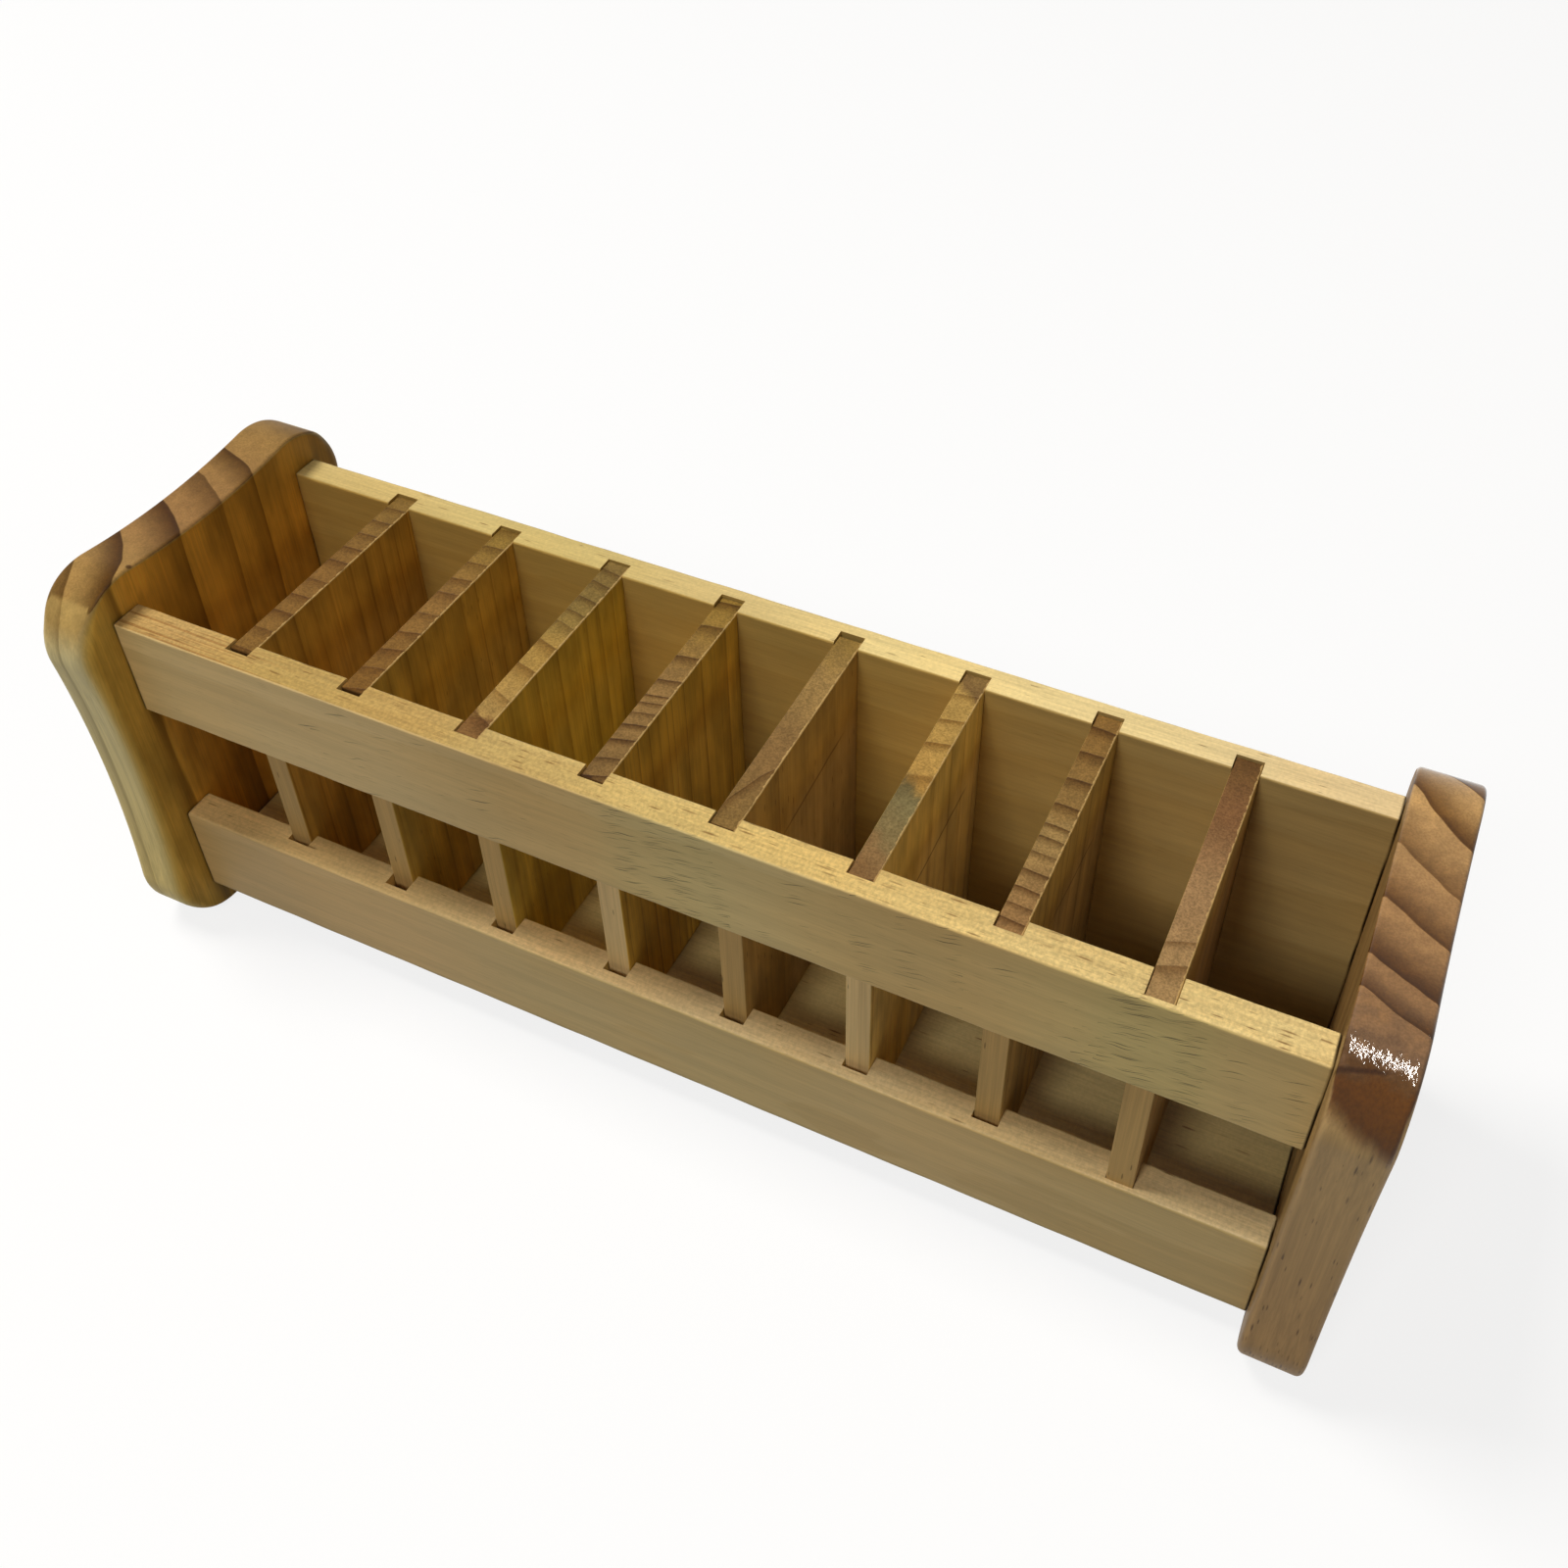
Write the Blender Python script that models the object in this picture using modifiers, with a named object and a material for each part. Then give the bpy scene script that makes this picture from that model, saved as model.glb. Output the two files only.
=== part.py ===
"""Open wooden pen holder.

Two shaped end panels carry two grooved front rails, a grooved back board and a floor board on hidden
dowels. Thin dividers drop into the grooves from above and stand on the floor board.
The length runs along X, the front faces -Y, and the feet stand on Z = 0.
"""

import math

import bmesh
import bpy
from mathutils import Matrix, Vector

# Driving dimensions, in metres: the long boards
inner_length = 0.360          # between the inner faces of the end panels
rail_thickness = 0.0105
rail_height = 0.0353
window_height = 0.0476        # open gap between the two front rails
pocket_depth = 0.0722         # from the rails' inner faces to the back board's inner face
back_thickness = 0.0095
floor_thickness = 0.0098
board_edge_round = 0.0008     # easing on the edges of rails, back board and floor board

# Driving dimensions: the end panels and how far they stand out around the boards
panel_thickness = 0.018
front_overhang = 0.0129
back_overhang = 0.0121
top_overhang = 0.0126
foot_height = 0.0134          # from the standing surface to the underside of the boards
panel_corner_radius = 0.0217
panel_side_hollow = 0.0026    # how far each side of the panel bows inward at its middle
foot_trim = 0.0004            # planed off the two lower crests, so that the panel stands on flats
panel_edge_round = 0.0022

# Driving dimensions: dividers and their grooves
divider_count = 8
divider_thickness = 0.0076
end_pocket_width = 0.0372     # from an end panel to the nearest groove
divider_top_drop = 0.0005     # the dividers' tops lie this far below the rails' tops
divider_edge_round = 0.0004
rail_groove_depth = 0.0050
back_groove_depth = 0.0054
last_groove_skin = 0.0016     # wood left in front of the last groove, which is cut deeper than the rest
groove_side_clearance = 0.0003
groove_end_clearance = 0.0006

# Driving dimensions: dowels
dowel_diameter = 0.005
dowel_board_reach = 0.016     # length of a dowel inside a rail, back board or floor board
dowel_panel_cover = 0.006     # wood left between a dowel hole and the panel's outer face
dowel_end_round = 0.0005
rail_dowel_spacing = 0.018
back_dowel_spacing = 0.040
floor_dowel_spacing = 0.040

# Fits: the gap left between pieces that touch or are glued, and round a dowel
joint_gap = 0.0003
dowel_clearance = 0.0002

# Facets on round shapes
corner_segments = 16
side_segments = 8
dowel_segments = 16
panel_edge_segments = 3
board_edge_segments = 2
dowel_end_segments = 1

# Angles between two faces above which an edge is eased, and above which it is shaded as a crease
eased_edge_angle = math.radians(50)
crease_angle = math.radians(40)

# The filled outline's front, back and rim meet in points closer than this, which are joined
weld_distance = 0.000001

# Places worked out from the driving dimensions
box_depth = rail_thickness + pocket_depth + back_thickness
box_height = 2 * rail_height + window_height
panel_depth = front_overhang + box_depth + back_overhang
panel_front = -panel_depth / 2
panel_top = foot_height + box_height + top_overhang
rail_front = panel_front + front_overhang
rail_inner = rail_front + rail_thickness
back_inner = rail_inner + pocket_depth
back_rear = back_inner + back_thickness
box_bottom = foot_height
box_top = box_bottom + box_height
floor_top = box_bottom + floor_thickness
panel_face = inner_length / 2
board_half_length = panel_face - joint_gap
groove_width = divider_thickness + 2 * groove_side_clearance
groove_overrun = rail_thickness   # how far the groove cutter runs past the boards' edges
divider_pitch = (inner_length - 2 * end_pocket_width - groove_width) / (divider_count - 1)
dowel_panel_reach = panel_thickness - dowel_panel_cover - joint_gap

for leftover in list(bpy.data.objects):
    bpy.data.objects.remove(leftover, do_unlink=True)

parts = bpy.data.collections.new("pen_holder")
cutters = bpy.data.collections.new("pen_holder_cutters")
bpy.context.scene.collection.children.link(parts)
bpy.context.scene.collection.children.link(cutters)


def varnished_wood(name, colour, roughness):
    """One clear-varnished wood, with its own colour."""
    material = bpy.data.materials.new(name)
    material.use_nodes = True
    shader = material.node_tree.nodes["Principled BSDF"]
    shader.inputs["Base Color"].default_value = (*colour, 1.0)
    shader.inputs["Roughness"].default_value = roughness
    shader.inputs["Metallic"].default_value = 0.0
    return material


panel_wood = varnished_wood("panel_pine", (0.42, 0.29, 0.14), 0.38)
rail_wood = varnished_wood("rail_pine", (0.50, 0.38, 0.20), 0.45)
back_wood = varnished_wood("back_pine", (0.45, 0.34, 0.17), 0.45)
floor_wood = varnished_wood("floor_pine", (0.40, 0.29, 0.15), 0.50)
divider_wood = varnished_wood("divider_pine", (0.36, 0.24, 0.10), 0.42)
dowel_wood = varnished_wood("dowel_beech", (0.55, 0.40, 0.24), 0.60)


def add_part(name, mesh, material, location):
    """One named piece of the holder."""
    piece = bpy.data.objects.new(name, mesh)
    piece.location = location
    mesh.materials.clear()
    mesh.materials.append(material)
    parts.objects.link(piece)
    return piece


def add_cutter(name, shape):
    """A hidden solid, or several, that a Boolean takes away."""
    mesh = bpy.data.meshes.new(name)
    shape.to_mesh(mesh)
    shape.free()
    cutter = bpy.data.objects.new(name, mesh)
    cutter.hide_render = True
    cutter.display_type = "WIRE"
    cutters.objects.link(cutter)
    return cutter


def add_box(shape, low, high):
    """Adds a box between two corners to a mesh."""
    low, high = Vector(low), Vector(high)
    size = Matrix.Diagonal((*(high - low), 1.0))
    bmesh.ops.create_cube(shape, size=1.0, matrix=Matrix.Translation((low + high) / 2) @ size)


def add_rod(shape, radius, start_x, end_x, y, z):
    """Adds a round rod along X to a mesh."""
    place = Matrix.Translation(((start_x + end_x) / 2, y, z)) @ Matrix.Rotation(math.pi / 2, 4, "Y")
    bmesh.ops.create_cone(
        shape,
        cap_ends=True,
        segments=dowel_segments,
        radius1=radius,
        radius2=radius,
        depth=abs(end_x - start_x),
        matrix=place,
    )


def round_edges(piece, width, segments):
    """Eases the sharp edges and leaves the shallow ones between facets alone."""
    bevel = piece.modifiers.new("eased_edges", "BEVEL")
    bevel.width = width
    bevel.segments = segments
    bevel.limit_method = "ANGLE"
    bevel.angle_limit = eased_edge_angle


def cut(piece, cutter):
    """Takes a cutter away from a piece."""
    boolean = piece.modifiers.new(cutter.name, "BOOLEAN")
    boolean.operation = "DIFFERENCE"
    boolean.solver = "EXACT"
    boolean.object = cutter


def board(name, low, high, material, edge_round):
    """A planed board between two corners, with eased edges and its origin at its lower middle."""
    low, high = Vector(low), Vector(high)
    origin = Vector(((low.x + high.x) / 2, (low.y + high.y) / 2, low.z))
    shape = bmesh.new()
    add_box(shape, low - origin, high - origin)
    mesh = bpy.data.meshes.new(name)
    shape.to_mesh(mesh)
    shape.free()
    piece = add_part(name, mesh, material, origin)
    round_edges(piece, edge_round, board_edge_segments)
    return piece


def hollow_radius(half_run):
    """Radius of a hollow side whose ends run smoothly into the round corners."""
    hollow = panel_side_hollow
    return (half_run * half_run + hollow * hollow) / (2 * hollow) - panel_corner_radius


def panel_outline():
    """Points round the panel, as (Y, Z): four round corners joined by four hollow sides.

    A hollow side is an arc about a centre outside the panel. It meets each corner on the line between
    the two centres, a little past the corner's crest.
    """
    radius = panel_corner_radius
    middle_z = (panel_top - foot_trim) / 2
    half_y = panel_depth / 2 - radius
    half_z = (panel_top + foot_trim) / 2 - radius
    level_radius = hollow_radius(half_y)
    upright_radius = hollow_radius(half_z)
    level_lean = math.asin(half_y / (level_radius + radius))
    upright_lean = math.asin(half_z / (upright_radius + radius))
    points = []
    for quarter in range(4):
        upright = quarter % 2 == 1
        before, after = (level_lean, upright_lean) if upright else (upright_lean, level_lean)
        sign_y = 1 if quarter in (0, 3) else -1
        sign_z = 1 if quarter in (0, 1) else -1
        start = quarter * math.pi / 2 - before
        sweep = math.pi / 2 + before + after
        for step in range(corner_segments + 1):
            angle = start + sweep * step / corner_segments
            corner_y = sign_y * half_y + radius * math.cos(angle)
            corner_z = middle_z + sign_z * half_z + radius * math.sin(angle)
            points.append((corner_y, corner_z))
        side_radius = upright_radius if upright else level_radius
        half_run = half_y if upright else half_z
        reach = half_run + radius - panel_side_hollow + side_radius
        middle = (quarter + 1) * math.pi / 2
        centre_y = reach * round(math.cos(middle))
        centre_z = middle_z + reach * round(math.sin(middle))
        for step in range(1, side_segments):
            angle = middle + math.pi + after * (1 - 2 * step / side_segments)
            side_y = centre_y + side_radius * math.cos(angle)
            side_z = centre_z + side_radius * math.sin(angle)
            points.append((side_y, side_z))
    return planed_feet(points)


def planed_feet(points):
    """The outline with its two lower crests planed off level with the standing surface."""
    kept = []
    for (start_y, start_z), (end_y, end_z) in zip(points, points[1:] + points[:1]):
        if start_z >= 0:
            kept.append((start_y, start_z))
        if (start_z < 0) != (end_z < 0):
            share = start_z / (start_z - end_z)
            kept.append((start_y + share * (end_y - start_y), 0.0))
    return kept


def panel_mesh():
    """The end panel's outline given its thickness, as a closed mesh centred on the panel."""
    outline = bpy.data.curves.new("panel_outline", "CURVE")
    outline.dimensions = "2D"
    outline.fill_mode = "BOTH"
    outline.extrude = panel_thickness / 2
    points = panel_outline()
    spline = outline.splines.new("POLY")
    spline.points.add(len(points) - 1)
    for point, (y, z) in zip(spline.points, points):
        point.co = (y, z, 0.0, 1.0)
    spline.use_cyclic_u = True
    guide = bpy.data.objects.new("panel_outline", outline)
    cutters.objects.link(guide)
    evaluated = guide.evaluated_get(bpy.context.evaluated_depsgraph_get())
    mesh = bpy.data.meshes.new_from_object(evaluated)
    bpy.data.objects.remove(guide, do_unlink=True)
    shape = bmesh.new()
    shape.from_mesh(mesh)
    bmesh.ops.remove_doubles(shape, verts=shape.verts, dist=weld_distance)
    bmesh.ops.recalc_face_normals(shape, faces=shape.faces)
    shape.to_mesh(mesh)
    shape.free()
    # The outline was drawn flat: its first axis becomes Y, its second Z and its thickness X
    mesh.transform(Matrix(((0, 0, 1, 0), (1, 0, 0, 0), (0, 1, 0, 0), (0, 0, 0, 1))))
    mesh.shade_smooth()
    mesh.set_sharp_from_angle(angle=crease_angle)
    return mesh


def end_panel(name, side):
    """One end panel; side is -1 on the left and 1 on the right."""
    piece = add_part(name, panel_mesh(), panel_wood, (side * (panel_face + panel_thickness / 2), 0, 0))
    round_edges(piece, panel_edge_round, panel_edge_segments)
    return piece


def dowel_rows():
    """The name and the (Y, Z) place of every dowel at one end of the holder."""
    rail_y = rail_front + rail_thickness / 2
    back_y = back_inner + back_thickness / 2
    pocket_y = (rail_inner + back_inner) / 2
    floor_z = box_bottom + floor_thickness / 2
    box_middle = (box_bottom + box_top) / 2
    places = []
    for rail, middle in (("bottom", box_bottom + rail_height / 2), ("top", box_top - rail_height / 2)):
        for number, way in enumerate((-1, 1), start=1):
            places.append((f"{rail}_rail_{number}", rail_y, middle + way * rail_dowel_spacing / 2))
    for number, way in enumerate((-1, 0, 1), start=1):
        places.append((f"back_{number}", back_y, box_middle + way * back_dowel_spacing))
    for number, way in enumerate((-1, 1), start=1):
        places.append((f"floor_{number}", pocket_y + way * floor_dowel_spacing / 2, floor_z))
    return places


def dowel(name, side, y, z):
    """A round dowel with eased ends, across the joint between a board and an end panel."""
    shape = bmesh.new()
    middle = side * (panel_face + (dowel_panel_reach - dowel_board_reach) / 2)
    half = (dowel_panel_reach + dowel_board_reach) / 2
    add_rod(shape, dowel_diameter / 2, -half, half, 0, 0)
    mesh = bpy.data.meshes.new(name)
    shape.to_mesh(mesh)
    shape.free()
    mesh.shade_smooth()
    mesh.set_sharp_from_angle(angle=crease_angle)
    piece = add_part(name, mesh, dowel_wood, (middle, y, z))
    round_edges(piece, dowel_end_round, dowel_end_segments)


def dowel_holes(name, side):
    """All the dowel holes at one end, as one cutter for the panel and for the boards."""
    shape = bmesh.new()
    radius = dowel_diameter / 2 + dowel_clearance
    inner = side * (panel_face - dowel_board_reach - joint_gap)
    outer = side * (panel_face + dowel_panel_reach + joint_gap)
    for _, y, z in dowel_rows():
        add_rod(shape, radius, inner, outer, y, z)
    return add_cutter(name, shape)


def groove_centres():
    """The X of every groove, evenly spaced between the two end pockets."""
    first = -panel_face + end_pocket_width + groove_width / 2
    return [first + index * divider_pitch for index in range(divider_count)]


def rail_groove_floor(index):
    """The Y where a groove in the front rails ends."""
    last = index == divider_count - 1
    return rail_front + last_groove_skin if last else rail_inner - rail_groove_depth


def grooves(name, ends, mouth):
    """The divider grooves as one cutter: each runs from its end to the mouth, over the full height."""
    shape = bmesh.new()
    for x, end in zip(groove_centres(), ends):
        low_y, high_y = sorted((end, mouth))
        low = (x - groove_width / 2, low_y, box_bottom - groove_overrun)
        high = (x + groove_width / 2, high_y, box_top + groove_overrun)
        add_box(shape, low, high)
    return add_cutter(name, shape)


pocket_middle = (rail_inner + back_inner) / 2
front_ends = [rail_groove_floor(index) for index in range(divider_count)]
back_end = back_inner + back_groove_depth
front_grooves = grooves("front_grooves", front_ends, pocket_middle)
back_grooves = grooves("back_grooves", [back_end] * divider_count, pocket_middle)
left_holes = dowel_holes("left_dowel_holes", -1)
right_holes = dowel_holes("right_dowel_holes", 1)

# Rails, back board and floor board
bottom_rail = board(
    "front_bottom_rail",
    (-board_half_length, rail_front, box_bottom),
    (board_half_length, rail_inner, box_bottom + rail_height),
    rail_wood,
    board_edge_round,
)
top_rail = board(
    "front_top_rail",
    (-board_half_length, rail_front, box_top - rail_height),
    (board_half_length, rail_inner, box_top),
    rail_wood,
    board_edge_round,
)
back = board(
    "back_board",
    (-board_half_length, back_inner, box_bottom),
    (board_half_length, back_rear, box_top),
    back_wood,
    board_edge_round,
)
floor = board(
    "floor_board",
    (-board_half_length, rail_inner + joint_gap, box_bottom),
    (board_half_length, back_inner - joint_gap, floor_top),
    floor_wood,
    board_edge_round,
)
cut(bottom_rail, front_grooves)
cut(top_rail, front_grooves)
cut(back, back_grooves)
for long_board in (bottom_rail, top_rail, back, floor):
    cut(long_board, left_holes)
    cut(long_board, right_holes)

# End panels and the dowels that hold the boards to them
for side, side_name, holes in ((-1, "left", left_holes), (1, "right", right_holes)):
    cut(end_panel(f"{side_name}_end_panel", side), holes)
    for place_name, place_y, place_z in dowel_rows():
        dowel(f"dowel_{side_name}_{place_name}", side, place_y, place_z)

# Dividers: each stands on the floor board and slides up out of its grooves
for index, groove_x in enumerate(groove_centres()):
    board(
        f"divider_{index + 1}",
        (groove_x - divider_thickness / 2, front_ends[index] + groove_end_clearance, floor_top + joint_gap),
        (groove_x + divider_thickness / 2, back_end - groove_end_clearance, box_top - divider_top_drop),
        divider_wood,
        divider_edge_round,
    )
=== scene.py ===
import math

import bmesh
import bpy
import numpy as np
from mathutils import Matrix, Quaternion, Vector


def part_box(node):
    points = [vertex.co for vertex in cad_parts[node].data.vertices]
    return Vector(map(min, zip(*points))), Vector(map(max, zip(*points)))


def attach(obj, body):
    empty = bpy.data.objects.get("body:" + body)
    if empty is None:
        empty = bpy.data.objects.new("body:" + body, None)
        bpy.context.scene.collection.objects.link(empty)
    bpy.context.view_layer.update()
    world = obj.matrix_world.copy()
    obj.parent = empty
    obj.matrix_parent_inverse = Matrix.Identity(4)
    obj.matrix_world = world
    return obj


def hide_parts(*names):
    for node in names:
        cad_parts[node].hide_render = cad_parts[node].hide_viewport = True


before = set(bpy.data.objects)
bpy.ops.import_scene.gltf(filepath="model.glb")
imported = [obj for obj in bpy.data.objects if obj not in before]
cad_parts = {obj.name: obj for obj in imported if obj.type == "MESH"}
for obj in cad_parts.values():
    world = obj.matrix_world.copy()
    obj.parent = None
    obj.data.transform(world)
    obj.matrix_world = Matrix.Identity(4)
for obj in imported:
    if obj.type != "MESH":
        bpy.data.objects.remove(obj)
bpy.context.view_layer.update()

# End panels
# Two boards of wide-ringed pine, 18 mm thick, sawn to a rounded outline with hollow sides and sanded over.
# The grain stands upright, so the top edges are end grain. Glued dowels hold the long boards between them.
panel_corner_radius = 0.0217
panel_side_hollow = 0.0026
panel_foot_trim = 0.0004
panel_side_round = {"left": 0.0038, "right": 0.0020}     # the easing of the upright edges
panel_top_round = 0.0012                                 # and of the cut ends, which sandpaper hardly touches
corner_steps = 40
side_steps = 60
round_steps = 8
shade_support = 0.0003     # a ring of points this far in from a rounded edge keeps the flat beside it flat
weld_distance = 0.000001
corner_signs = ((1, 1), (-1, 1), (-1, -1), (1, -1))


def panel_outline(width, height):
    """Closed outline of an end panel as arrays of Y, Z and the outward normal.

    Four corner arcs of one radius are joined by four shallow hollow arcs. Each hollow arc is centred outside
    the panel and meets its corner arcs on the lines between the centres, so the outline never kinks.
    """
    radius = panel_corner_radius
    middle_z = (height - panel_foot_trim) / 2
    half = np.array([width / 2, (height + panel_foot_trim) / 2]) - radius
    hollow = (half ** 2 + panel_side_hollow ** 2) / (2 * panel_side_hollow) - radius
    lean = np.arcsin(half / (hollow + radius))
    points, normals = [], []
    for quarter, sign in enumerate(corner_signs):
        level = quarter % 2
        before, after = lean[1 - level], lean[level]
        turn = quarter * np.pi / 2 - before + (np.pi / 2 + before + after) * np.linspace(0, 1, corner_steps)
        arrow = np.stack([np.cos(turn), np.sin(turn)], -1)
        points.append(np.array(sign) * half + radius * arrow)
        normals.append(arrow)
        middle = (quarter + 1) * np.pi / 2
        outward = np.round([np.cos(middle), np.sin(middle)])
        reach = half[1 - level] + radius - panel_side_hollow + hollow[level]
        turn = middle + np.pi + after * np.linspace(1, -1, side_steps)[1:-1]
        arrow = np.stack([np.cos(turn), np.sin(turn)], -1)
        points.append(outward * reach + hollow[level] * arrow)
        normals.append(-arrow)
    return np.concatenate(points) + (0, middle_z), np.concatenate(normals)


def eased_across(thickness, radius):
    """Places across a board from face to face: (inset from the rim, height over the first face).

    Each face ends in a quarter circle of the given radius, which may change along the rim. One extra place
    on each side of it keeps the flats flat in the shading.
    """
    radius = np.atleast_1d(radius)
    turn = np.linspace(0, np.pi / 2, round_steps + 1)[:, None]
    level = np.zeros((1, len(radius)))
    inset = np.concatenate([level + radius + shade_support, radius * (1 - np.sin(turn)), level])
    height = np.concatenate([level, radius * (1 - np.cos(turn)), level + radius + shade_support])
    return np.concatenate([inset, inset[::-1]]), np.concatenate([height, thickness - height[::-1]])


def closed_skin(name, rings, crease=35):
    """A closed mesh over rings of points: each ring joins the next, and a middle point closes both ends."""
    count, around = rings.shape[:2]
    points = np.concatenate([rings.reshape(-1, 3), rings[[0, -1]].mean(axis=1)])
    here = np.arange(count * around).reshape(count, around)
    there = np.roll(here, -1, axis=1)
    quads = np.stack([here[:-1], there[:-1], there[1:], here[1:]], -1).reshape(-1, 4)
    first, last = count * around, count * around + 1
    fans = np.concatenate([
        np.stack([there[0], here[0], np.full(around, first)], -1),
        np.stack([here[-1], there[-1], np.full(around, last)], -1),
    ])
    mesh = bpy.data.meshes.new(name)
    mesh.from_pydata(points, [], quads.tolist() + fans.tolist())
    shape = bmesh.new()
    shape.from_mesh(mesh)
    bmesh.ops.remove_doubles(shape, verts=shape.verts, dist=weld_distance)
    bmesh.ops.recalc_face_normals(shape, faces=shape.faces)
    shape.to_mesh(mesh)
    shape.free()
    mesh.shade_smooth()
    mesh.set_sharp_from_angle(angle=math.radians(crease))
    piece = bpy.data.objects.new(name, mesh)
    bpy.context.scene.collection.objects.link(piece)
    return piece


def panel_skin(name, low, high, side_round):
    """An end panel: its outline, drawn in by the eased edge, is carried across the thickness.

    The easing's radius follows the outline's normal, from upright edges to cut ends.
    """
    outline, normal = panel_outline(high.y - low.y, high.z - low.z)
    outline = outline + ((low.y + high.y) / 2, low.z)
    turns_from, turns_over = 0.45, 0.5      # the slope at which an upright edge starts to turn into a cut end
    cut_end = np.clip((np.abs(normal[:, 1]) - turns_from) / turns_over, 0, 1)
    cut_end = cut_end ** 2 * (3 - 2 * cut_end)
    radius = side_round + (panel_top_round - side_round) * cut_end
    inset, across = eased_across(high.x - low.x, radius)
    flat = outline - inset[..., None] * normal
    rings = np.empty((*flat.shape[:2], 3))
    rings[..., 0] = low.x + across
    rings[..., 1] = flat[..., 0]
    rings[..., 2] = np.maximum(flat[..., 1], low.z)
    return closed_skin(name, rings)


def add_node(tree, kind, inputs=None, **settings):
    """One shader node: its settings, and its inputs by name or number, each a plain value or a socket."""
    node = tree.nodes.new("ShaderNode" + kind)
    for key, value in settings.items():
        setattr(node, key, value)
    for key, value in (inputs or {}).items():
        if isinstance(value, bpy.types.NodeSocket):
            tree.links.new(value, node.inputs[key])
        else:
            node.inputs[key].default_value = value
    return node


def maths(tree, operation, *values):
    """The result of one Math node."""
    return add_node(tree, "Math", dict(enumerate(values)), operation=operation).outputs[0]


def times(tree, product, *values):
    """The product of two or more values."""
    for value in values:
        product = maths(tree, "MULTIPLY", product, value)
    return product


def vectors(tree, operation, *values, scale=None):
    """The result of one Vector Math node: a vector, or a number for a length or a dot product."""
    inputs = dict(enumerate(values))
    if scale is not None:
        inputs["Scale"] = scale
    node = add_node(tree, "VectorMath", inputs, operation=operation)
    return node.outputs["Value" if operation in ("LENGTH", "DOT_PRODUCT") else "Vector"]


def ramp(tree, value, low, high, to_low=0.0, to_high=1.0):
    """A value eased from one range to another, with soft ends."""
    inputs = {"Value": value, 1: low, 2: high, 3: to_low, 4: to_high}
    return add_node(tree, "MapRange", inputs, interpolation_type="SMOOTHSTEP").outputs[0]


def even(tree, value, to_low=0.0, to_high=1.0, low=0.0, high=1.0):
    """A value carried evenly from the range between low and high to another one, and held at its ends."""
    return add_node(tree, "MapRange", {"Value": value, 1: low, 2: high, 3: to_low, 4: to_high}).outputs[0]


def mix(tree, share, first, second, blend="MIX"):
    """Two colours mixed by a share."""
    inputs = {0: share, 6: first, 7: second}
    return add_node(tree, "Mix", inputs, data_type="RGBA", blend_type=blend).outputs[2]


def tinted(tree, share, colour, tint):
    """A colour that turns into its product with a tint, as far as share says."""
    return mix(tree, share, colour, mix(tree, 1.0, colour, tint, "MULTIPLY"))


def noise(tree, place, scale, detail=2.0, roughness=0.5):
    """Soft noise from 0 to 1 at a place."""
    inputs = {"Vector": place, "Scale": scale, "Detail": detail, "Roughness": roughness}
    return add_node(tree, "TexNoise", inputs).outputs["Fac"]


def paint(red, green, blue):
    """A colour as it looks on a screen, 0 to 255, turned into a linear colour."""
    share = np.array([red, green, blue]) / 255
    linear = np.where(share > 0.04045, ((share + 0.055) / 1.055) ** 2.4, share / 12.92)
    return (*linear.tolist(), 1.0)


def new_group(name, inputs, outputs):
    """An empty shader node group with its sockets, and the two nodes that hold them."""
    tree = bpy.data.node_groups.new(name, "ShaderNodeTree")
    for way, sockets in (("INPUT", inputs), ("OUTPUT", outputs)):
        for socket, kind in sockets.items():
            tree.interface.new_socket(socket, in_out=way, socket_type="NodeSocket" + kind)
    return tree, tree.nodes.new("NodeGroupInput").outputs, tree.nodes.new("NodeGroupOutput").inputs


def pith_distance_group():
    """How far a point is from the middle line of its tree, bent a little by slow noise along the grain."""
    tree, given, made = new_group(
        "pith_distance",
        {"Position": "Vector", "Pith": "Vector", "Grain": "Vector", "Wander": "Float"},
        {"Distance": "Float"},
    )
    offset = vectors(tree, "SUBTRACT", given["Position"], given["Pith"])
    along = vectors(tree, "DOT_PRODUCT", offset, given["Grain"])
    axial = vectors(tree, "SCALE", given["Grain"], scale=along)
    radial = vectors(tree, "SUBTRACT", offset, axial)
    drawn_out = vectors(tree, "ADD", radial, vectors(tree, "SCALE", axial, scale=0.25))
    bend = maths(tree, "SUBTRACT", noise(tree, drawn_out, 60.0), 0.5)
    bent = maths(tree, "MULTIPLY_ADD", bend, given["Wander"], vectors(tree, "LENGTH", radial))
    tree.links.new(bent, made["Distance"])
    return tree


def growth_ring_group():
    """Growth rings: through each ring the wood darkens slowly, and then turns pale again at once."""
    tree, given, made = new_group(
        "growth_rings",
        {"Ring Count": "Float", "Late Share": "Float"},
        {"Late Wood": "Float", "Ring Line": "Float"},
    )
    share = maths(tree, "FRACT", given["Ring Count"])
    start = maths(tree, "SUBTRACT", 1.0, given["Late Share"])
    drop = ramp(tree, share, 0.965, 1.0, 1.0, 0.0)
    number = maths(tree, "FLOOR", given["Ring Count"])
    tone = add_node(tree, "TexWhiteNoise", {"W": number}, noise_dimensions="1D").outputs["Value"]
    strength = maths(tree, "MULTIPLY_ADD", tone, 0.4, 0.7)
    late = times(tree, ramp(tree, share, start, 0.97), drop, strength)
    tree.links.new(late, made["Late Wood"])
    line = times(tree, ramp(tree, share, 0.84, 0.95), drop, strength)
    tree.links.new(line, made["Ring Line"])
    return tree


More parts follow.
